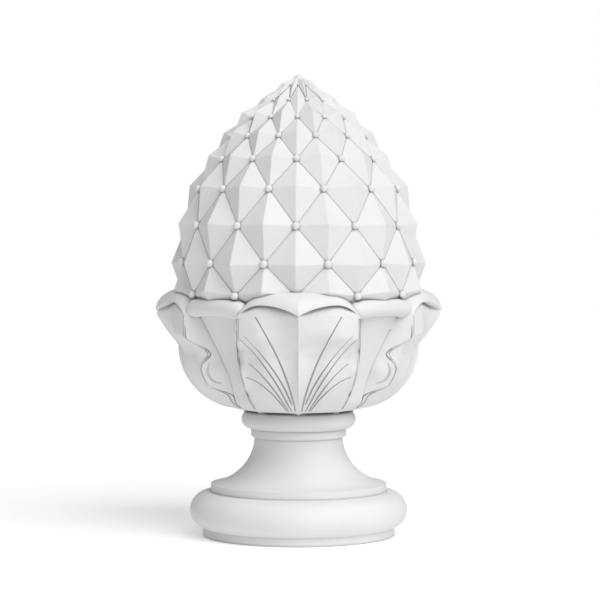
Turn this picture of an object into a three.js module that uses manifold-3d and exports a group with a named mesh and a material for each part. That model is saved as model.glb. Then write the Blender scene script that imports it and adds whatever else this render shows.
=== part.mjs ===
// Pineapple finial: a moulded ornament for a gate pier or a newel, cast in one piece.
// Millimetres, +Z up, the front towards -Y, the origin at the centre of the underside.
// From the ground up it is a turned pedestal, a calyx of four broad leaves with the tips
// of four more between them, and a fruit quilted in pyramids with a bead at each crossing.
import * as THREE from "three";
import { mergeVertices } from "three/addons/utils/BufferGeometryUtils.js";
import Module from "manifold-3d";

const wasm = await Module();
wasm.setup();

// Driving sizes of the pedestal, from the ground up
const plinthRadius = 121.9;
const plinthHeight = 10;
const baseRollRadius = 138;
const baseRollHeight = 46;
const stepRadius = 111.6;
const stepHeight = 10;
const neckRadius = 56;
const neckHeight = 60.5;
const neckSweep = 66;
const filletRadius = 60.6;
const filletHeight = 9.5;
const collarRadius = 72.6;
const collarHeight = 24;
const turnedSides = 40;

// Driving sizes of the calyx
const leafCount = 4;
const leafHalfWidth = 75;
const leafTipRadius = 181.6;
const bowlRadius = 151;
const bowlHeight = 80;
const flareHeight = 46;
const lipHeight = 28;
const lipUndercut = 2.5;
const footInset = 5;
const midribHeight = 2;
const foldDepth = 3.8;
const cupFootRadius = 93;
const cupFootRound = 16;
const cupRimInset = 4.5;
const rollRadius = 10.75;
const rollStand = 2;
const rollDroop = 5.5;

// The carving of a leaf, as shares of its own half width, bowl, flare and lip
const footTaper = 0.33;
const taperHeight = 1.22;
const lobeFoot = 0.25;
const lobeFull = 0.45;
const lobeInset = 0.03;
const nickDepth = 0.11;
const nickDrop = 0.07;
const nickReach = 0.128;
const earRise = 0.1;
const earFull = 0.35;
const archPeak = 0.62;
const archRise = 0.45;
const cornerDrop = 0.53;
const foldSpanLow = 0.7;
const foldSpanHigh = 1.05;
const foldFull = 0.5;
const midribWidth = 0.035;
const bendStart = 0.75;

// The powers of the leaf's curves: the taper of its foot, the flare of its keel, the arch
// of its lip, and the slant of its lip and its halves in plan
const taperPower = 2.6;
const flarePower = 0.8;
const archPower = 0.8;
const lipSlantPower = 0.9;
const halfSlantPower = 0.95;

// Driving sizes of the fruit
const fruitHeight = 259;
const fruitRadius = 149.5;
const fruitFullness = 2.35;
const fruitSeatShare = 0.5;
const fruitAboveLip = 11.2;
const diamondsAround = 12;
const beadRadius = 5.2;
const smallestBead = 3;
const beadStand = 0.35;
const pyramidRise = 4.5;
const pyramidShare = 0.105;
const budRadius = 9;
const budStand = 2;

// The crossings of the quilting, as shares of the fruit's height above its widest level.
// They are widest apart on the belly and crowd together towards the tip.
const crossingShares = [-0.208, -0.064, 0.087, 0.265, 0.439, 0.581, 0.692, 0.784, 0.869, 0.945];
const quiltTurn = THREE.MathUtils.degToRad(-1.25);

// How far the peaks of a row stand above the crossings of that row, and how much further
// out than the plain rise. Two low rows lean off level, and the four highest are uneven.
const peakLifts = [0, 7, -2.5, 0, 0, 0, 0, 0, 0, 0];
const peakRises = [0, 0, 0, 0, 0, 0, 1, 3.5, -1, -1];

// Levels that follow from the sizes above
const plinthTop = plinthHeight;
const baseRollTop = plinthTop + baseRollHeight;
const stepTop = baseRollTop + stepHeight;
const neckTop = stepTop + neckHeight;
const filletTop = neckTop + filletHeight;
const collarTop = filletTop + collarHeight;
const bowlTop = collarTop + bowlHeight;
const tipLevel = bowlTop + flareHeight;
const lipTop = tipLevel + lipHeight;
const widestLevel = lipTop + fruitAboveLip;
const fruitTop = widestLevel + fruitHeight;
const cupRimRadius = fruitRadius - cupRimInset;

const clamp = THREE.MathUtils.clamp;
const lerp = THREE.MathUtils.lerp;
const smooth = THREE.MathUtils.smoothstep;

// A point at a turn round the axis, measured from the front towards +X.
function around(turn, radius, z) {
  return new THREE.Vector3(radius * Math.sin(turn), -radius * Math.cos(turn), z);
}

// A closed geometry as a solid.
function solid(geometry) {
  const bare = geometry.index ? geometry : geometry.clone();
  for (const name of ["normal", "uv"]) bare.deleteAttribute(name);
  const merged = mergeVertices(bare, 1e-3);
  return new wasm.Manifold(
    new wasm.Mesh({
      numProp: 3,
      vertProperties: merged.attributes.position.array,
      triVerts: new Uint32Array(merged.index.array),
    }),
  );
}

// A solid as a geometry.
function geometryOf(made) {
  const mesh = made.getMesh();
  const geometry = new THREE.BufferGeometry();
  geometry.setAttribute("position", new THREE.BufferAttribute(mesh.vertProperties, 3));
  geometry.setIndex(new THREE.BufferAttribute(mesh.triVerts, 1));
  geometry.computeVertexNormals();
  return geometry;
}

// A solid through a row of closed sections with the same number of points. The two end
// sections are filled as the flat outlines that flatten gives, and the diagonals of the
// sides lean the other way past the middle, so that a symmetrical row stays so.
function loft(sections, flatten) {
  const count = sections[0].length;
  const last = sections.length - 1;
  const ring = (i, j) => i * count + (j % count);
  const faces = [];
  for (let i = 0; i < last; i++)
    for (let j = 0; j < count; j++) {
      const [a, b] = [ring(i, j), ring(i + 1, j)];
      const [c, d] = [ring(i + 1, j + 1), ring(i, j + 1)];
      if (i < last / 2) faces.push([a, b, c], [a, c, d]);
      else faces.push([a, b, d], [b, c, d]);
    }
  for (const end of [0, last]) {
    const outline = sections[end].map(flatten);
    const reversed = THREE.ShapeUtils.isClockWise(outline) !== (end === last);
    for (const corners of THREE.ShapeUtils.triangulateShape(outline, [])) {
      const face = corners.map((j) => ring(end, j));
      faces.push(reversed ? face.reverse() : face);
    }
  }
  const geometry = new THREE.BufferGeometry();
  const positions = sections.flat().flatMap((p) => p.toArray());
  geometry.setAttribute("position", new THREE.Float32BufferAttribute(positions, 3));
  geometry.setIndex(faces.flat());
  return solid(geometry);
}

// Points along a quarter or half round, from one angle to another in degrees.
function arc(radius, level, wide, high, from, to, steps) {
  return Array.from({ length: steps + 1 }, (_, i) => {
    const angle = THREE.MathUtils.degToRad(lerp(from, to, i / steps));
    return new THREE.Vector2(radius + wide * Math.cos(angle), level + high * Math.sin(angle));
  });
}

// The radius of the cup behind the leaves: a plain taper like a flower pot's, with its
// foot rounded in to meet the collar.
function cupRadius(z) {
  const above = clamp((z - collarTop) / cupFootRound, 0, 1);
  const tuck = (cupFootRadius - collarRadius + footInset) * (1 - Math.sqrt(1 - (1 - above) ** 2));
  return lerp(cupFootRadius, cupRimRadius, clamp((z - collarTop) / (tipLevel - collarTop), 0, 1)) - tuck;
}

// The turned body: plinth, base roll, step, hollow neck, fillet, collar and cup.
function turnedBody() {
  const point = (r, z) => new THREE.Vector2(r, z);
  const rollHalf = baseRollHeight / 2;
  const collarHalf = collarHeight / 2;
  const sweepAngle = Math.acos(1 - (stepRadius - neckRadius) / neckSweep);
  const sweepHeight = neckHeight / Math.sin(sweepAngle);
  const sweepFrom = 180 + THREE.MathUtils.radToDeg(sweepAngle);
  const profile = [
    point(0, 0),
    point(plinthRadius, 0),
    point(plinthRadius, plinthTop),
    ...arc(baseRollRadius - rollHalf, plinthTop + rollHalf, rollHalf, rollHalf, -72, 90, 7),
    point(stepRadius, baseRollTop),
    ...arc(neckRadius + neckSweep, neckTop, neckSweep, sweepHeight, sweepFrom, 184, 6),
    point(filletRadius, neckTop),
    point(filletRadius, filletTop),
    ...arc(collarRadius - collarHalf, filletTop + collarHalf, collarHalf, collarHalf, -90, 78, 5),
    ...[0, 0.15, 0.5, 1].map((share) => {
      const z = collarTop + share * cupFootRound;
      return point(cupRadius(z), z);
    }),
    point(cupRimRadius, tipLevel),
    point(cupRimRadius, tipLevel + rollRadius),
    point(0, tipLevel + rollRadius),
  ];
  const lathe = new THREE.LatheGeometry(profile, turnedSides);
  return solid(lathe.rotateX(Math.PI / 2));
}

// Half the width of a leaf at a level: full across the bowl, narrower at the foot.
function leafWidthAt(z) {
  const below = clamp((collarTop - z) / (taperHeight * bowlHeight) + 1, 0, 1);
  return leafHalfWidth * (1 - footTaper * below ** taperPower);
}

// How far out a leaf's middle stands at a level: a round bowl, then a flare to the tip.
function leafKeel(z) {
  const foot = collarRadius - footInset;
  const drop = clamp((bowlTop - z) / bowlHeight, 0, 1);
  const bowl = foot + (bowlRadius - foot) * Math.sqrt(1 - drop * drop);
  const flare = clamp((z - bowlTop) / flareHeight, 0, 1) ** flarePower;
  return bowl + (leafTipRadius - bowlRadius) * flare;
}

// How far out a leaf's margin stands: two lobes, with a deep nick between them where the
// bowl turns into the flare, and a shelf under the lower lobe where it meets the cup.
function leafMargin(z) {
  const width = leafWidthAt(z);
  const wall = Math.sqrt(Math.max(cupRadius(z) ** 2 - width ** 2, 1));
  const bowl = Math.sqrt(Math.max(leafKeel(Math.min(z, bowlTop)) ** 2 - width ** 2, 1));
  const lobe = smooth(z, collarTop + lobeFoot * bowlHeight, collarTop + lobeFull * bowlHeight);
  const fromNick = (z - bowlTop) / bowlHeight + nickDrop;
  const nick = nickDepth * Math.exp(-((fromNick / nickReach) ** 2));
  const ear = earRise * smooth(z, bowlTop, bowlTop + earFull * flareHeight);
  return lerp(wall, bowl + bowlRadius * (ear - nick - lobeInset), lobe);
}

// The level of the lip's lower edge across a leaf: an ogee that comes to a point in the
// middle, rises to a round arch on each side and falls to the corners.
function lipEdgeLevel(u) {
  const across = Math.abs(u);
  const arch = Math.sin((Math.min(across / archPeak, 1) * Math.PI) / 2) ** archPower;
  const fall = (Math.max(across - archPeak, 0) / (1 - archPeak)) ** 2;
  return tipLevel + lipHeight * (archRise * arch - cornerDrop * fall);
}

// The level of the lip's crest across a leaf.
function lipCrestLevel(u) {
  return lipTop - lipHeight * Math.abs(u) ** 4;
}

// How far out the lip's edge stands: a pointed prow in plan.
function lipReach(u) {
  const corner = leafMargin(tipLevel);
  return corner + (leafTipRadius - corner) * (1 - Math.abs(u)) ** lipSlantPower;
}

// A leaf's face: how far out it stands at a share u of its half width and a level z. Each
// half slants back from the midrib like a boat's bow, in a shallow fold, and bends in to
// the margin where that lies deeper.
function leafFace(u, z) {
  const width = leafWidthAt(z);
  const across = Math.abs(u);
  const keel = leafKeel(z);
  const margin = leafMargin(z);
  const roundEdge = Math.sqrt(Math.max(keel ** 2 - width ** 2, 1));
  const high = smooth(z, bowlTop - 0.1 * bowlHeight, tipLevel - 0.1 * flareHeight);
  const slantEdge = lerp(roundEdge - lobeInset * bowlRadius, margin, high);
  const prow = lerp(slantEdge, keel, (1 - across) ** halfSlantPower);
  const bend = (slantEdge - margin) * smooth(across, bendStart, 1);
  const rib = midribHeight * Math.exp(-((across / midribWidth) ** 2));
  const span = (2 * Math.PI) / lerp(foldSpanLow, foldSpanHigh, high);
  const fold = foldDepth * (Math.sin(across * span) - across * Math.sin(span));
  return prow - bend + rib - fold * smooth(z, collarTop, collarTop + foldFull * bowlHeight);
}

// The section of a leaf at a share u of its half width: from the cup up the face, round
// the lip and back into the fruit. Points hold the way across, the way out and the level.
function leafSection(u) {
  const inside = cupFootRadius / 3;
  const foot = collarTop - footInset;
  const edge = lipEdgeLevel(u);
  const crest = lipCrestLevel(u);
  const reach = lipReach(u);
  const faceShares = [0, 0.07, 0.15, 0.24, 0.32, 0.44, 0.55, 0.6, 0.64, 0.68, 0.73, 0.82, 0.91];
  const points = [[inside, foot]];
  for (const share of faceShares) {
    const z = lerp(foot, edge - lipUndercut, share);
    points.push([leafFace(u, z), z]);
  }
  points.push([Math.min(leafFace(u, edge), reach - lipUndercut), edge - lipUndercut / 8]);
  const crestReach = Math.sqrt(fruitRadius ** 2 - (u * leafHalfWidth) ** 2) - footInset;
  const lipSteps = 4;
  for (let i = 0; i <= lipSteps; i++) {
    const angle = (Math.PI / 2) * (i / lipSteps);
    const out = lerp(crestReach, reach, Math.cos(angle));
    points.push([out, lerp(edge, crest, Math.sin(angle))]);
  }
  points.push([inside, crest - footInset]);
  return points.map(([out, z]) => new THREE.Vector3(u * leafWidthAt(z), -out, z));
}

// A broad leaf of the calyx with its tip folded over, facing the front.
function broadLeaf() {
  const half = [1, 0.93, 0.82, 0.66, 0.42, 0.2, 0.07, 0];
  const shares = [...half.map((u) => -u), ...half.slice(0, -1).reverse()];
  return loft(shares.map(leafSection), (p) => new THREE.Vector2(p.y, p.z));
}

// The rolled tip of a leaf behind, between two broad leaves: a roll with drooping ends.
function rolledTip() {
  const halfTurn = THREE.MathUtils.degToRad(20);
  const steps = 7;
  const sides = 8;
  const sections = [];
  for (let i = 0; i <= steps; i++) {
    const along = lerp(-1, 1, i / steps);
    const level = tipLevel + rollRadius - rollDroop * along ** 2;
    const end = Math.sqrt(Math.max(1 - along ** 10, 0.2));
    sections.push(
      Array.from({ length: sides }, (_, j) => {
        const angle = (2 * Math.PI * j) / sides;
        const radius = cupRimRadius + rollStand + rollRadius * end * Math.cos(angle);
        return around(along * halfTurn, radius, level + rollRadius * end * Math.sin(angle));
      }),
    );
  }
  const flatten = (p) => new THREE.Vector2(Math.hypot(p.x, p.y), p.z);
  return loft(sections, flatten);
}

// The fruit's radius at a share of its height above the widest level. Below that level
// it draws in faster, to sit down inside the leaves.
function fruitRadiusAt(share) {
  const away = share < 0 ? -share / fruitSeatShare : share;
  return fruitRadius * (1 - away ** fruitFullness);
}

// A crossing of the quilting, with the way that faces out from the fruit there.
function crossing(row, column) {
  const share = crossingShares[row];
  const step = 0.01;
  const slope = (fruitRadiusAt(share) - fruitRadiusAt(share + step)) / (step * fruitHeight);
  const turn = (Math.PI / diamondsAround) * column + quiltTurn;
  const place = around(turn, fruitRadiusAt(share), widestLevel + share * fruitHeight);
  const out = around(turn, 1, slope).normalize();
  const width = (2 * Math.PI * fruitRadiusAt(share)) / diamondsAround;
  return { place, out, turn, slope, width };
}

// Beads and pyramids take turns along each row and up each column.
function isBead(row, column) {
  return (row + column) % 2 === 1;
}

// The quilted fruit: each pyramid is four flat facets between its peak and four crossings.
function quiltedFruit() {
  const columns = 2 * diamondsAround;
  const rows = crossingShares.length;
  const positions = [];
  for (let row = 0; row < rows; row++)
    for (let column = 0; column < columns; column++) {
      const { place, out, width } = crossing(row, column);
      const rise = isBead(row, column) ? 0 : pyramidRise + pyramidShare * width + peakRises[row];
      const lift = isBead(row, column) ? 0 : peakLifts[row];
      const peak = place.clone().addScaledVector(out, rise);
      positions.push(peak.x, peak.y, peak.z + lift);
    }
  const tip = positions.length / 3;
  positions.push(0, 0, fruitTop - budStand);
  positions.push(0, 0, widestLevel + crossingShares[0] * fruitHeight);
  const faces = [];
  for (let row = 0; row < rows; row++)
    for (let column = 0; column < columns; column++) {
      const a = row * columns + column;
      const b = row * columns + ((column + 1) % columns);
      if (row === 0) faces.push(tip + 1, b, a);
      if (row === rows - 1) {
        faces.push(a, b, tip);
        continue;
      }
      if (isBead(row, column)) faces.push(a, b, b + columns, a, b + columns, a + columns);
      else faces.push(a, b, a + columns, b, b + columns, a + columns);
    }
  const geometry = new THREE.BufferGeometry();
  geometry.setAttribute("position", new THREE.Float32BufferAttribute(positions, 3));
  geometry.setIndex(faces);
  return solid(geometry);
}

// A bead in each crossing, smaller towards the tip down to the smallest that stands clear
// of the facets, and the bud on top.
function beads() {
  const made = [];
  for (let row = 1; row < crossingShares.length; row++)
    for (let column = 0; column < 2 * diamondsAround; column++) {
      const radius = beadRadius * Math.sqrt(fruitRadiusAt(crossingShares[row]) / fruitRadius);
      if (radius < smallestBead || !isBead(row, column)) continue;
      const { place, out, turn, slope } = crossing(row, column);
      const ball = new THREE.OctahedronGeometry(radius, 0);
      ball.rotateY(Math.PI / 4).rotateX(-Math.atan(slope)).rotateZ(turn);
      const seat = place.clone().addScaledVector(out, beadStand * radius);
      made.push(solid(ball.translate(seat.x, seat.y, seat.z)));
    }
  const bud = new THREE.SphereGeometry(budRadius, 12, 6).rotateX(Math.PI / 2);
  made.push(solid(bud.translate(0, 0, fruitTop - budRadius)));
  return made;
}

const pieces = [turnedBody(), quiltedFruit(), ...beads()];
for (let i = 0; i < leafCount; i++) {
  const step = 360 / leafCount;
  pieces.push(broadLeaf().rotate([0, 0, i * step]));
  pieces.push(rolledTip().rotate([0, 0, (i + 0.5) * step]));
}
const finial = new THREE.Mesh(
  geometryOf(wasm.Manifold.union(pieces)),
  new THREE.MeshStandardMaterial({ color: 0xeeeeec, roughness: 0.6, metalness: 0 }),
);
finial.name = "pineapple_finial";

const model = new THREE.Group();
model.add(finial);
export default model;
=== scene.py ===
import math

import bmesh
import bpy
from mathutils import Matrix, Vector


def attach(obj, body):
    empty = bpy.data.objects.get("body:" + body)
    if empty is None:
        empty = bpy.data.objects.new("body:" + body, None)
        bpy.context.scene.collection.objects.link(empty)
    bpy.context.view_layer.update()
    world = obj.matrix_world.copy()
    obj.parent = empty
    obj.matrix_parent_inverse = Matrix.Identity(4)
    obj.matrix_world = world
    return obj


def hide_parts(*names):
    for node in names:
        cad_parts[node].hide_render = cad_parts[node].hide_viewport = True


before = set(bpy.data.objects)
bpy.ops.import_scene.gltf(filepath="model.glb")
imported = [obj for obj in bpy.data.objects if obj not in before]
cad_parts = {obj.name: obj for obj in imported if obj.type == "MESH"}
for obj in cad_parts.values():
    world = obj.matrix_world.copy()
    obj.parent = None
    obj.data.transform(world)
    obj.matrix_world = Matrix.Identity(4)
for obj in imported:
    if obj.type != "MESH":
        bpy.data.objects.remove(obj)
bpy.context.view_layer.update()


# The camera stands level with the lower part of the fruit and looks slightly down, with
# the long lens that keeps the rings of the foot as flat as the picture shows them.
camera_place, camera_down = (0.0018, -3.1715, 0.4255), 2.29
camera_film, camera_lens = 36, 150
camera_data = bpy.data.cameras.new("camera")
camera_data.sensor_width = camera_film
camera_data.lens = camera_lens
camera = bpy.data.objects.new("camera", camera_data)
camera.location = camera_place
camera.rotation_euler = (math.radians(90 - camera_down), 0, 0)
bpy.context.collection.objects.link(camera)
bpy.context.scene.camera = camera
bpy.context.scene.view_settings.view_transform = "Standard"


# The studio: a white table in a bright white room, under a large soft lamp on the right in
# front and a weaker one almost overhead. The room looks white behind the table.
def lamp(name, turn, height, width, energy):
    """A large soft lamp, turned from the front towards the right and raised, in degrees."""
    data = bpy.data.lights.new(name, "SUN")
    data.energy = energy
    data.angle = math.radians(width)
    made = bpy.data.objects.new(name, data)
    made.rotation_euler = (math.radians(90 - height), 0, math.radians(turn))
    bpy.context.collection.objects.link(made)


def grey(tone):
    return (tone, tone, tone, 1)


lamp("key_light", 35, 43, 50, 2.25)
lamp("top_light", -15, 74, 90, 0.65)

# The room's light grows from the floor level up, and the camera sees a plain white wall.
room_low, room_high, wall_seen = 0.08, 0.42, 1
world = bpy.data.worlds.new("bright_room")
bpy.context.scene.world = world
world.use_nodes = True
room = world.node_tree
room_light = room.nodes["Background"]
room_light.inputs["Color"].default_value = (1, 1, 1, 1)
room_way = room.nodes.new("ShaderNodeTexCoord")
room_axes = room.nodes.new("ShaderNodeSeparateXYZ")
room.links.new(room_way.outputs["Generated"], room_axes.inputs["Vector"])
room_rise = room.nodes.new("ShaderNodeMapRange")
room_rise.inputs["To Min"].default_value = room_low
room_rise.inputs["To Max"].default_value = room_high
room.links.new(room_axes.outputs["Z"], room_rise.inputs["Value"])
room_rays = room.nodes.new("ShaderNodeLightPath")
room_strength = room.nodes.new("ShaderNodeMapRange")
room_strength.inputs["To Max"].default_value = wall_seen
room.links.new(room_rise.outputs["Result"], room_strength.inputs["To Min"])
room.links.new(room_rays.outputs["Is Camera Ray"], room_strength.inputs["Value"])
room.links.new(room_strength.outputs["Result"], room_light.inputs["Strength"])

table_half_size, table_tone, table_roughness, table_glow = 6, 0.78, 0.9, 0.3
table_white = bpy.data.materials.new("table_white")
table_white.use_nodes = True
table_shader = table_white.node_tree.nodes["Principled BSDF"]
table_shader.inputs["Base Color"].default_value = grey(table_tone)
table_shader.inputs["Roughness"].default_value = table_roughness
table_shader.inputs["Emission Color"].default_value = (1, 1, 1, 1)
table_shader.inputs["Emission Strength"].default_value = table_glow

table_mesh = bmesh.new()
bmesh.ops.create_grid(table_mesh, x_segments=1, y_segments=1, size=table_half_size)
table_data = bpy.data.meshes.new("table")
table_mesh.to_mesh(table_data)
table_mesh.free()
table = bpy.data.objects.new("table", table_data)
table.data.materials.append(table_white)
bpy.context.collection.objects.link(table)


# The turned foot: a thin plinth disc, a fat roll, a step, a long hollow neck, a fillet and
# a collar, in the same moulding as the cup that the leaves stand against. Its master was
# turned on a lathe, so one profile is spun round the axis.
plinth_radius, plinth_top = 0.1219, 0.010
roll_radius, roll_top = 0.138, 0.056
step_radius, step_top = 0.1116, 0.066
neck_radius, neck_top, neck_sweep = 0.056, 0.1265, 0.066
fillet_radius, fillet_top = 0.0606, 0.136
collar_radius, collar_top = 0.0726, 0.160
cup_foot_radius, cup_foot_round, cup_rim_radius = 0.093, 0.016, 0.145
foot_inset = 0.005
tip_level, cup_top = 0.286, 0.296
edge_round, turned_steps = 0.0007, 144
roll_steps, sweep_steps, collar_steps, cup_foot_steps = 26, 26, 20, 8


def finished(mesh, name):
    """Merge the doubles of a bmesh, turn its faces out and make it an object."""
    bmesh.ops.remove_doubles(mesh, verts=mesh.verts, dist=1e-6)
    bmesh.ops.recalc_face_normals(mesh, faces=mesh.faces)
    data = bpy.data.meshes.new(name)
    mesh.to_mesh(data)
    mesh.free()
    made = bpy.data.objects.new(name, data)
    bpy.context.collection.objects.link(made)
    return made


def lerp(a, b, share):
    return a + (b - a) * share


def clamp(value):
    return min(max(value, 0.0), 1.0)


def smooth(value, low, high):
    share = clamp((value - low) / (high - low))
    return share * share * (3 - 2 * share)


def around(turn, radius, z):
    """A point at a turn round the axis, measured from the front towards +X."""
    return Vector((radius * math.sin(turn), -radius * math.cos(turn), z))


def arc(radius, level, wide, high, start, end, steps):
    """Points of a round in a profile, from one angle to another in degrees."""
    angles = [math.radians(lerp(start, end, i / steps)) for i in range(steps + 1)]
    return [(radius + wide * math.cos(a), level + high * math.sin(a)) for a in angles]


def cup_radius(z):
    """The cup tapers like a flower pot, its foot rounded in to the collar."""
    above = clamp((z - collar_top) / cup_foot_round)
    tuck = 1 - math.sqrt(1 - (1 - above) ** 2)
    tuck *= cup_foot_radius - collar_radius + foot_inset
    up = clamp((z - collar_top) / (tip_level - collar_top))
    return lerp(cup_foot_radius, cup_rim_radius, up) - tuck


roll_half = (roll_top - plinth_top) / 2
collar_half = (collar_top - fillet_top) / 2
sweep_angle = math.acos(1 - (step_radius - neck_radius) / neck_sweep)
sweep_height = (neck_top - step_top) / math.sin(sweep_angle)
foot_edges = [(plinth_radius, 0), (plinth_radius, plinth_top), (step_radius, roll_top),
              (fillet_radius, neck_top), (fillet_radius, fillet_top)]
profile = [(0, 0), foot_edges[0], foot_edges[1]]
profile += arc(roll_radius - roll_half, plinth_top + roll_half, roll_half, roll_half,
               -72, 90, roll_steps)
profile += [foot_edges[2]]
profile += arc(neck_radius + neck_sweep, neck_top, neck_sweep, sweep_height,
               180 + math.degrees(sweep_angle), 182, sweep_steps)
profile += [foot_edges[3], foot_edges[4]]
profile += arc(collar_radius - collar_half, fillet_top + collar_half, collar_half, collar_half,
               -90, 78, collar_steps)
for i in range(cup_foot_steps + 1):
    level = collar_top + cup_foot_round * i / cup_foot_steps
    profile.append((cup_radius(level), level))
profile += [(cup_rim_radius, tip_level), (cup_rim_radius, cup_top), (0, cup_top)]

foot_mesh = bmesh.new()
line = [foot_mesh.verts.new((r, 0, z)) for r, z in profile]
for a, b in zip(line, line[1:]):
    foot_mesh.edges.new((a, b))
corners = [line[profile.index(edge)] for edge in foot_edges]
bmesh.ops.bevel(foot_mesh, geom=corners, affect="VERTICES", offset=edge_round, segments=3,
                profile=0.5, material=-1)
bmesh.ops.spin(foot_mesh, geom=foot_mesh.verts[:] + foot_mesh.edges[:], cent=(0, 0, 0),
               axis=(0, 0, 1), angle=2 * math.pi, steps=turned_steps, use_merge=True)
turned_foot = finished(foot_mesh, "turned_foot")


# The broad leaves: four of one shape, repeated round the cup. Each stands out like a boat's
# bow, with a folded tip, a sharp midrib and wavy margins. The front one and the one behind
# have veins, cut in with a fine gouge before the mould was taken.
leaf_count = 4
leaf_half_width, leaf_tip_radius, leaf_inside = 0.075, 0.1816, 0.029
bowl_radius, bowl_height, flare_height = 0.151, 0.080, 0.046
bowl_top = collar_top + bowl_height
lip_height, lip_undercut, lip_hollow = 0.028, 0.0028, 0.0045
lip_top = tip_level + lip_height
midrib_height, midrib_width = 0.0016, 0.0018
lobe_inset, fold_depth = 0.0045, 0.0038
corner_round = 0.0009
fruit_radius = 0.1495

# The curves of a leaf, as shares of its half width, bowl, flare and lip, and as powers.
taper_height, foot_taper, taper_power = 1.22, 0.33, 2.6
flare_power, flare_ease = 0.8, 0.18
lobe_foot, lobe_full = 0.25, 0.45
nick_depth, nick_drop, nick_reach = 0.11, 0.07, 0.128
ear_rise, ear_full = 0.1, 0.35
arch_peak, arch_rise, arch_power, corner_drop = 0.62, 0.45, 0.8, 0.53
lip_slant_power, half_slant_power = 0.9, 0.95
fold_span_low, fold_span_high, fold_full = 0.7, 1.05, 0.5
bend_start, bend_depth = 0.84, 0.008
hollow_near, hollow_far, hollow_drop = 0.2, 0.75, 0.03
crease_near, crease_soft = 0.2, 0.010
slant_early = 0.1
slant_low, slant_high = bowl_top - slant_early * bowl_height, tip_level - slant_early * flare_height


def chord(radius, across):
    """How far out a round stands at a place that far across from its middle."""
    return math.sqrt(max(radius ** 2 - across ** 2, 1e-6))


def leaf_width(z):
    """Half the width of a leaf: full across the bowl, narrower at the foot."""
    below = clamp((collar_top - z) / (taper_height * bowl_height) + 1)
    return leaf_half_width * (1 - foot_taper * below ** taper_power)


def leaf_keel(z):
    """How far out the middle of a leaf stands: a round bowl, then a flare to the tip."""
    foot = collar_radius - foot_inset
    drop = clamp((bowl_top - z) / bowl_height)
    bowl = foot + (bowl_radius - foot) * math.sqrt(1 - drop * drop)
    flare = clamp((z - bowl_top) / flare_height)
    eased = flare ** flare_power * (1 - math.exp(-flare / flare_ease))
    return bowl + (leaf_tip_radius - bowl_radius) * eased


def leaf_margin(z):
    """Two lobes with a deep nick between them, where the bowl turns into the flare."""
    width = leaf_width(z)
    wall = chord(cup_radius(z), width)
    bowl = chord(leaf_keel(min(z, bowl_top)), width)
    lobe = smooth(z, collar_top + lobe_foot * bowl_height, collar_top + lobe_full * bowl_height)
    nick = nick_depth * math.exp(-(((z - bowl_top) / bowl_height + nick_drop) / nick_reach) ** 2)
    ear = ear_rise * smooth(z, bowl_top, bowl_top + ear_full * flare_height)
    return lerp(wall, bowl + bowl_radius * (ear - nick) - lobe_inset, lobe)


def lip_edge_level(u):
    """The lower edge of the folded tip: a point in the middle and an arch on each side."""
    arch = math.sin(min(abs(u) / arch_peak, 1) * math.pi / 2) ** arch_power
    fall = (max(abs(u) - arch_peak, 0) / (1 - arch_peak)) ** 2
    return tip_level + lip_height * (arch_rise * arch - corner_drop * fall)


def lip_reach(u):
    """How far out the edge of the folded tip stands: a pointed prow in plan."""
    corner = leaf_margin(tip_level)
    return corner + (leaf_tip_radius - corner) * (1 - abs(u)) ** lip_slant_power


def leaf_face(u, z):
    """How far out the face stands at a share u of the half width and a level z."""
    width, across = leaf_width(z), abs(u)
    keel, margin = leaf_keel(z), leaf_margin(z)
    eased = (leaf_keel(z - crease_soft) + leaf_keel(z + crease_soft)) / 2
    crease = smooth(across, 0, crease_near) * math.exp(-((z - bowl_top) / crease_soft) ** 2)
    keel = lerp(keel, eased, crease)
    high = smooth(z, slant_low, slant_high)
    slant_edge = lerp(chord(keel, width) - lobe_inset, margin, high)
    prow = lerp(slant_edge, keel, (1 - across) ** half_slant_power)
    deeper = slant_edge - margin
    bend = deeper * smooth(across, bend_start, 1) ** (1 + max(deeper, 0) / bend_depth)
    rib = midrib_height * math.exp(-(u * width / midrib_width) ** 2)
    span = 2 * math.pi / lerp(fold_span_low, fold_span_high, high)
    fold = fold_depth * (math.sin(across * span) - across * math.sin(span))
    fold *= smooth(z, collar_top, collar_top + fold_full * bowl_height)
    edge = lip_edge_level(u)
    hollow = lip_hollow * smooth(across, 0, hollow_near) * (1 - smooth(across, hollow_far, 1))
    hollow *= smooth(z, edge - hollow_drop, edge)
    return prow - bend + rib - hollow - fold


crescent_out, crescent_level, crescent_radius = 0.097, 0.214, 0.016
swell_height, swell_flat = 0.0028, 0.15
swell_start, swell_full = 0.086, 0.098


def side_swell(out, z):
    """Inside its crescent groove, each side of a leaf swells like the ball of a thumb."""
    away = math.hypot(out - crescent_out, z - crescent_level) / crescent_radius
    return swell_height * (1 - smooth(away, swell_flat, 1)) * smooth(out, swell_start, swell_full)


def spread(low, high, step):
    """Levels about a step apart, from the low one up to just below the high one."""
    count = round((high - low) / step)
    return [lerp(low, high, i / count) for i in range(count)]


# The rows of the leaf's mesh lie closest where the margin steps out and where it is nicked.
face_levels = [*spread(collar_top - foot_inset, 0.178, 0.0025), *spread(0.178, 0.198, 0.001),
               *spread(0.198, 0.224, 0.002), *spread(0.224, 0.252, 0.001),
               *spread(0.252, 0.276, 0.002), 0.276]
edge_rows, under_rows, lip_rows = 10, 3, 14
face_rows = len(face_levels) - 1 + edge_rows
face_columns, corner_columns, column_crowding = 44, 3, 0.1
wall_depths = [0.0012, 0.0027, 0.0045, 0.0065, 0.0085, 0.0105, 0.0125, 0.0145, 0.0165,
               0.0185, 0.021, 0.024, 0.028, 0.034, 0.044]
half_columns = face_columns + corner_columns + len(wall_depths)
rows = face_rows + under_rows + lip_rows
under_gap = 0.0006
undercut_side, undercut_low, undercut_high = 0.8, 0.006, 0.001


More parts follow.
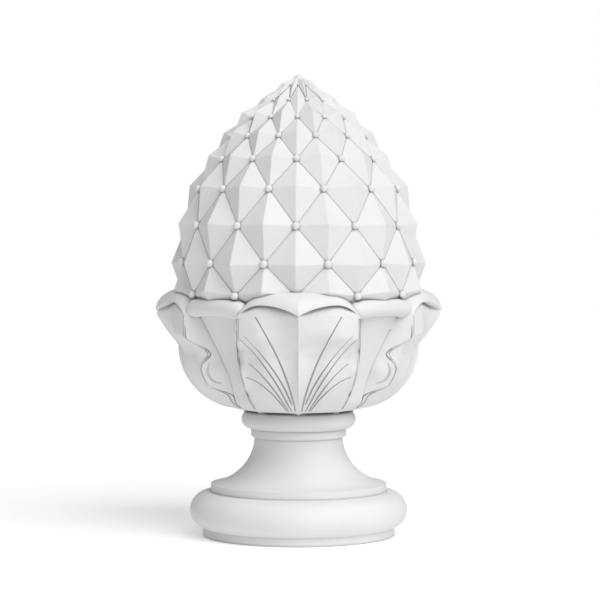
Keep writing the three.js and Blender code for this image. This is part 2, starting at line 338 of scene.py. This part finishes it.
def leaf_point(column, row):
    """A point of the leaf's skin: the face in the middle, the side walls beyond it."""
    step = min(abs(column) / face_columns, 1)
    u = step - column_crowding * math.sin(2 * math.pi * step)
    u *= 1 - corner_round / leaf_half_width
    edge, reach = lip_edge_level(u), lip_reach(u)
    under = edge - under_gap
    z = face_levels[min(row, len(face_levels) - 1)]
    if row >= len(face_levels):
        z = lerp(z, under, min((row - len(face_levels) + 1) / edge_rows, 1))
    pulled = lip_undercut * (1 - smooth(u, undercut_side, 1))
    pulled *= smooth(z, edge - undercut_low, edge - undercut_high)
    out = min(leaf_face(u, z), reach) - pulled
    if face_rows < row <= face_rows + under_rows:
        share = (row - face_rows) / under_rows
        z = lerp(under, edge, share)
        out = lerp(out, reach, share)
    elif row > face_rows + under_rows:
        angle = math.pi / 2 * (row - face_rows - under_rows) / lip_rows
        crest = lip_top - lip_height * u ** 4
        crest_reach = chord(fruit_radius, u * leaf_half_width) - foot_inset
        z = lerp(edge, crest, math.sin(angle))
        out = lerp(crest_reach, reach, math.cos(angle))
    x = u * leaf_width(z)
    past = abs(column) - face_columns
    if past > 0:
        angle = math.pi / 2 * min(past / corner_columns, 1)
        x += corner_round * math.sin(angle)
        out -= corner_round * (1 - math.cos(angle))
    if past > corner_columns:
        out = max(out - wall_depths[past - corner_columns - 1], leaf_inside)
        x += side_swell(out, z)
    return Vector((math.copysign(x, column), -out, z))


leaf_mesh = bmesh.new()
bmesh.ops.create_grid(leaf_mesh, x_segments=2 * half_columns, y_segments=rows, size=1)
for vert in leaf_mesh.verts:
    vert.co = leaf_point(round(vert.co.x * half_columns), round((vert.co.y + 1) / 2 * rows))
skirt = [edge for edge in leaf_mesh.edges if edge.is_boundary]
for item in bmesh.ops.extrude_edge_only(leaf_mesh, edges=skirt)["geom"]:
    if isinstance(item, bmesh.types.BMVert):
        item.co.y = -leaf_inside
bmesh.ops.remove_doubles(leaf_mesh, verts=leaf_mesh.verts, dist=1e-6)
opening = [edge for edge in leaf_mesh.edges if edge.is_boundary]
bmesh.ops.holes_fill(leaf_mesh, edges=opening, sides=0)
broad_leaf = finished(leaf_mesh, "broad_leaf")


def combined(base, others, operation):
    """Join solids to the base, or cut them from it."""
    for other in others:
        change = base.modifiers.new(operation.lower(), "BOOLEAN")
        change.operation = operation
        change.solver = "MANIFOLD"
        change.object = other
    depsgraph = bpy.context.evaluated_depsgraph_get()
    result = bpy.data.meshes.new_from_object(base.evaluated_get(depsgraph))
    base.modifiers.clear()
    base.data = result
    for other in others:
        bpy.data.objects.remove(other)


def gouge(name, steps, stop, *given):
    """A round cutter through stops along a line, each with a place and a radius: the shape
    that a gouge takes out."""
    curve = bpy.data.curves.new(name, "CURVE")
    curve.dimensions = "3D"
    curve.bevel_depth = 1
    curve.bevel_resolution = 1
    curve.use_fill_caps = True
    spline = curve.splines.new("POLY")
    spline.points.add(steps)
    for i, point in enumerate(spline.points):
        place, radius = stop(*given, i / steps)
        point.co = (*place, 1)
        point.radius = radius
    tool = bpy.data.objects.new(name, curve)
    mesh = bmesh.new()
    mesh.from_mesh(tool.to_mesh())
    bpy.data.objects.remove(tool)
    return finished(mesh, name)


# Each vein runs from near the margin, past a bend, to the foot beside the midrib. The
# places are across the leaf and up from the ground, and the share is the width it starts
# at. It widens to the full width and narrows a little at the foot.
veins = [((0.052, 0.284), (0.0115, 0.2165), (0.0038, 0.165), 0.7),
         ((0.066, 0.261), (0.023, 0.2175), (0.0085, 0.175), 0.4),
         ((0.071, 0.2565), (0.034, 0.2233), (0.0085, 0.165), 0.5),
         ((0.0605, 0.226), (0.0346, 0.2078), (0.0125, 0.165), 0.5),
         ((0.064, 0.209), (0.0358, 0.2013), (0.0148, 0.165), 0.5)]
vein_radius, vein_sink, vein_steps = 0.0013, 0.0004, 24
vein_widen_start, vein_widen_end = 0.1, 0.65
vein_narrow_start, vein_narrowing = 0.9, 0.3


def vein_stop(side, start, bend, end, share, t):
    across, level = [(1 - t) ** 2 * a + 2 * t * (1 - t) * b + t * t * c
                     for a, b, c in zip(start, bend, end)]
    out = leaf_face(across / leaf_width(level), level) - vein_sink
    wide = lerp(share, 1, smooth(t, vein_widen_start, vein_widen_end))
    wide -= vein_narrowing * smooth(t, vein_narrow_start, 1)
    return Vector((side * across, -out, level)), vein_radius * wide


# A fine line runs up inside each margin, lighter at the nick, and another up the side wall
# behind it, which thins out under the lip.
hem_foot, rim_foot = collar_top + 0.004, collar_top + 0.006
line_top = lip_edge_level(1) - 0.002
hem_width, hem_radius, hem_steps = 0.0016, 0.0013, 80
nick_level, hem_lighter, hem_lighter_reach = 0.2345, 0.4, 0.006
rim_width, rim_radius, rim_sink, rim_steps = 0.0018, 0.0011, 0.0005, 110
rim_thin_start, rim_thinning = 0.75, 0.7


def hem_stop(side, t):
    level = lerp(hem_foot, line_top, t)
    across = leaf_width(level) - hem_width
    lighter = hem_lighter * math.exp(-((level - nick_level) / hem_lighter_reach) ** 2)
    out = leaf_face(across / leaf_width(level), level)
    return Vector((side * across, -out, level)), hem_radius * (1 - lighter)


def rim_stop(side, t):
    level = lerp(rim_foot, line_top, t)
    out = leaf_face(1 - corner_round / leaf_half_width, level) - rim_width
    radius = rim_radius * (1 - rim_thinning * smooth(t, rim_thin_start, 1))
    return Vector((side * (leaf_width(level) - rim_sink), -out, level)), radius


# The crescent on each side wall is deepest in the middle and fades at both ends.
crescent_groove, crescent_stand, crescent_steps = 0.0019, 0.0004, 20
crescent_start, crescent_end = 34, -92
crescent_thin, crescent_tip, crescent_power = 0.3, 0.04, 0.6


def crescent_stop(side, t):
    turn = math.radians(lerp(crescent_start, crescent_end, t))
    out = crescent_out + crescent_radius * math.cos(turn)
    level = crescent_level + crescent_radius * math.sin(turn)
    full = math.sin(math.pi * lerp(crescent_tip, 1 - crescent_tip, t)) ** crescent_power
    radius = crescent_groove * lerp(crescent_thin, 1, full)
    return Vector((side * (leaf_width(level) + crescent_stand), -out, level)), radius


vein_cutters, edge_cutters = [], []
for side in (-1, 1):
    for number, vein in enumerate(veins):
        vein_cutters.append(gouge(f"vein_{side}_{number}", vein_steps, vein_stop, side, *vein))
    edge_cutters.append(gouge(f"hem_{side}", hem_steps, hem_stop, side))
    edge_cutters.append(gouge(f"rim_{side}", rim_steps, rim_stop, side))
    edge_cutters.append(gouge(f"crescent_{side}", crescent_steps, crescent_stop, side))
combined(broad_leaf, edge_cutters, "DIFFERENCE")
plain_leaf = broad_leaf.data
combined(broad_leaf, vein_cutters, "DIFFERENCE")

# A fine line is cut into the cup where the sides of the leaves meet it.
seam_radius, seam_steps = 0.0016, 40
seam_foot, seam_top = collar_top + 0.006, tip_level + 0.004


def seam_stop(turn, side, t):
    level = lerp(seam_foot, seam_top, t)
    across = leaf_width(level)
    place = Vector((side * across, -chord(cup_radius(level), across), level))
    return Matrix.Rotation(turn, 3, "Z") @ place, seam_radius


leaf_turns = [2 * math.pi * i / leaf_count for i in range(leaf_count)]
seams = [gouge(f"seam_{i}_{side}", seam_steps, seam_stop, turn, side)
         for i, turn in enumerate(leaf_turns) for side in (-1, 1)]
combined(turned_foot, seams, "DIFFERENCE")

leaves = [broad_leaf]
for i in range(1, leaf_count):
    face = plain_leaf if i % 2 else broad_leaf.data
    leaf = bpy.data.objects.new(f"broad_leaf_{i}", face.copy())
    leaf.data.transform(Matrix.Rotation(leaf_turns[i], 4, "Z"))
    bpy.context.collection.objects.link(leaf)
    leaves.append(leaf)


# The tips of the four leaves behind: each is folded over into a roll that lies on the
# rim of the cup between two broad leaves.
tip_roll_radius, tip_roll_swell, tip_roll_bluntness = 0.0105, 0.002, 10
tip_roll_stand, tip_roll_rise, tip_roll_droop = 0.002, 0.0075, 0.004
tip_roll_turn = math.radians(20)
tip_rolls = []
for i in range(leaf_count):
    roll_mesh = bmesh.new()
    bmesh.ops.create_uvsphere(roll_mesh, u_segments=24, v_segments=36, radius=1)
    for vert in roll_mesh.verts:
        along, side = vert.co.z, math.atan2(vert.co.y, vert.co.x)
        swell = tip_roll_radius + tip_roll_swell * along ** 2
        swell *= math.sqrt(max(1 - along ** tip_roll_bluntness, 0))
        turn = 2 * math.pi * (i + 0.5) / leaf_count + tip_roll_turn * along
        level = tip_level + tip_roll_rise - tip_roll_droop * along ** 2
        vert.co = around(turn, cup_rim_radius + tip_roll_stand + swell * math.cos(side),
                         level + swell * math.sin(side))
    tip_rolls.append(finished(roll_mesh, f"tip_roll_{i}"))


# The fruit: an egg shape quilted in twelve pyramids to each row. Rows stand close together
# towards the tip. Ridges are slightly rounded, and a fine groove is cut along each valley.
fruit_height, fruit_fullness, fruit_seat = 0.259, 2.35, 0.5
widest_level = lip_top + 0.0112
fruit_top = widest_level + fruit_height
diamonds_around = 12
crossing_shares = [-0.208, -0.064, 0.087, 0.265, 0.439, 0.581, 0.692, 0.784, 0.869, 0.945]
quilt_foot = widest_level + crossing_shares[0] * fruit_height
quilt_turn = math.radians(-1.25)
slope_step = 0.01
pyramid_rise, pyramid_share = 0.0045, 0.105
bud_stand = 0.002
groove_depth, groove_edge, groove_full = 0.0006, 0.00035, 1.5
edge_bevel, unbevelled_foot = 2.4, 0.01

# How far the peaks of a row stand above their crossings, and how much further out than the
# plain rise: two low rows lean off level, and the four highest are uneven.
peak_lifts = [0, 0.007, -0.0025, 0, 0, 0, 0, 0, 0, 0]
peak_rises = [0, 0, 0, 0, 0, 0, 0.001, 0.0035, -0.001, -0.001]


def fruit_radius_at(share):
    away = -share / fruit_seat if share < 0 else share
    return fruit_radius * (1 - away ** fruit_fullness)


def crossing(row, column):
    """A crossing of the quilting, the way out from the fruit there, and the local width."""
    share = crossing_shares[row]
    inward = fruit_radius_at(share) - fruit_radius_at(share + slope_step)
    slope = inward / (slope_step * fruit_height)
    turn = math.pi / diamonds_around * column + quilt_turn
    place = around(turn, fruit_radius_at(share), widest_level + share * fruit_height)
    out = around(turn, 1, slope).normalized()
    return place, out, 2 * math.pi * fruit_radius_at(share) / diamonds_around


fruit_mesh = bmesh.new()
quilt_rows, quilt_columns = len(crossing_shares), 2 * diamonds_around
bmesh.ops.create_grid(fruit_mesh, x_segments=quilt_columns, y_segments=quilt_rows + 1, size=1)
kind = fruit_mesh.verts.layers.int.new("kind")
bead_kind, peak_kind = 1, 2
for vert in fruit_mesh.verts:
    column = round((vert.co.x + 1) / 2 * quilt_columns) % quilt_columns
    row = round((vert.co.y + 1) / 2 * (quilt_rows + 1)) - 1
    if row < 0:
        vert.co = (0, 0, quilt_foot)
    elif row == quilt_rows:
        vert.co = (0, 0, fruit_top - bud_stand)
    else:
        place, out, width = crossing(row, column)
        is_bead = (row + column) % 2 == 1
        vert[kind] = bead_kind if is_bead else peak_kind
        if not is_bead:
            rise = pyramid_rise + pyramid_share * width + peak_rises[row]
            place += rise * out + Vector((0, 0, peak_lifts[row]))
        vert.co = place
bmesh.ops.remove_doubles(fruit_mesh, verts=fruit_mesh.verts, dist=1e-6)
bmesh.ops.recalc_face_normals(fruit_mesh, faces=fruit_mesh.faces)
crossings = [vert for vert in fruit_mesh.verts if vert[kind] == bead_kind]
bmesh.ops.connect_verts(fruit_mesh, verts=crossings)
valleys = [edge for edge in fruit_mesh.edges if all(vert[kind] == bead_kind for vert in edge.verts)]
strips = bmesh.ops.bevel(fruit_mesh, geom=valleys, affect="EDGES", offset=edge_bevel,
                         offset_type="PERCENT", segments=1, profile=0.5, material=-1)["faces"]
bmesh.ops.inset_region(fruit_mesh, faces=strips, thickness=groove_edge, use_even_offset=True)
fruit_mesh.normal_update()
for vert in {vert for face in strips for vert in face.verts}:
    radius = math.hypot(vert.co.x, vert.co.y)
    vert.co -= vert.normal * groove_depth * clamp(radius / fruit_radius * groove_full)
ridges = [edge for edge in fruit_mesh.edges if any(vert[kind] == peak_kind for vert in edge.verts)
          and max(vert.co.z for vert in edge.verts) > quilt_foot + unbevelled_foot]
bmesh.ops.bevel(fruit_mesh, geom=ridges, affect="EDGES", offset=edge_bevel, offset_type="PERCENT",
                segments=3, profile=0.5, material=-1)
fruit = finished(fruit_mesh, "fruit")


# The beads: a small ball in every crossing of the valleys, smaller towards the tip, and a
# pointed bud on top. They are part of the same moulding.
bead_radius, bead_stand = 0.00495, 0.35
bud_radius, bud_point = 0.009, 0.35
bead_mesh = bmesh.new()
for row in range(1, quilt_rows):
    for column in range(quilt_columns):
        if (row + column) % 2 == 0:
            continue
        place, out, _ = crossing(row, column)
        radius = bead_radius * math.sqrt(fruit_radius_at(crossing_shares[row]) / fruit_radius)
        seat = Matrix.Translation(place + out * bead_stand * radius)
        bmesh.ops.create_icosphere(bead_mesh, subdivisions=2, radius=radius, matrix=seat)
beads = finished(bead_mesh, "beads")

bud_mesh = bmesh.new()
bmesh.ops.create_uvsphere(bud_mesh, u_segments=32, v_segments=20, radius=bud_radius,
                          matrix=Matrix.Translation((0, 0, fruit_top - bud_radius)))
for vert in bud_mesh.verts:
    up = clamp((vert.co.z - fruit_top) / bud_radius + 1)
    vert.co.x *= 1 - bud_point * up
    vert.co.y *= 1 - bud_point * up
bud = finished(bud_mesh, "bud")


# The whole finial leaves the mould as one piece of hard foam with a dense skin, sprayed
# with matt white primer. The primer lies in a faint orange peel and keeps a few dull
# patches, and its colour is darkened in the creases and where parts meet as painted shade.
sharp_from = math.radians(27)
# The grey below is painted shade: the colour it darkens to in creases, within a short reach.
primer_low, primer_high, painted_shade_tone = 0.7, 0.735, 0.3
primer_specular, painted_shade_reach = 0.35, 0.005
peel_strength, peel_height = 0.25, 0.0002
finial = turned_foot
combined(finial, [fruit, beads, bud, *tip_rolls, *leaves], "UNION")
finial.name = "moulded_finial"
finial.data.shade_smooth()
finial.data.set_sharp_from_angle(angle=sharp_from)
weighted = finial.modifiers.new("weighted_normals", "WEIGHTED_NORMAL")
weighted.keep_sharp = True

primer = bpy.data.materials.new("primed_urethane")
primer.use_nodes = True
nodes, links = primer.node_tree.nodes, primer.node_tree.links
shader = nodes["Principled BSDF"]
shader.inputs["Specular IOR Level"].default_value = primer_specular
places = nodes.new("ShaderNodeTexCoord")


def noise(scale, detail):
    node = nodes.new("ShaderNodeTexNoise")
    node.inputs["Scale"].default_value = scale
    node.inputs["Detail"].default_value = detail
    links.new(places.outputs["Object"], node.inputs["Vector"])
    return node.outputs["Fac"]


def ranged(value, low, high, least=0, most=1):
    """Spread the part of a value between low and high over the range from least to most."""
    node = nodes.new("ShaderNodeMapRange")
    node.inputs["From Min"].default_value = low
    node.inputs["From Max"].default_value = high
    node.inputs["To Min"].default_value = least
    node.inputs["To Max"].default_value = most
    links.new(value, node.inputs["Value"])
    return node.outputs["Result"]


# Painted shade: ambient occlusion darkens the base colour in creases, grooves and joints, standing
# in for the shadow there.
painted_crease_shade = nodes.new("ShaderNodeAmbientOcclusion")
painted_crease_shade.samples = 8
painted_crease_shade.inputs["Distance"].default_value = painted_shade_reach
tone = nodes.new("ShaderNodeMix")
tone.data_type = "RGBA"
tone.inputs["A"].default_value = grey(primer_low)
tone.inputs["B"].default_value = grey(primer_high)
links.new(ranged(noise(14, 4), 0.3, 0.7), tone.inputs["Factor"])
shade = nodes.new("ShaderNodeMix")
shade.data_type = "RGBA"
shade.inputs["A"].default_value = grey(painted_shade_tone)
links.new(tone.outputs["Result"], shade.inputs["B"])
links.new(ranged(painted_crease_shade.outputs["AO"], 0.35, 0.85), shade.inputs["Factor"])
links.new(shade.outputs["Result"], shader.inputs["Base Color"])
links.new(ranged(noise(60, 3), 0.3, 0.7, 0.52, 0.68), shader.inputs["Roughness"])
peel = nodes.new("ShaderNodeBump")
peel.inputs["Strength"].default_value = peel_strength
peel.inputs["Distance"].default_value = peel_height
links.new(noise(900, 2), peel.inputs["Height"])
links.new(peel.outputs["Normal"], shader.inputs["Normal"])
finial.data.materials.clear()
finial.data.materials.append(primer)

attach(finial, "root")
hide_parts("pineapple_finial")
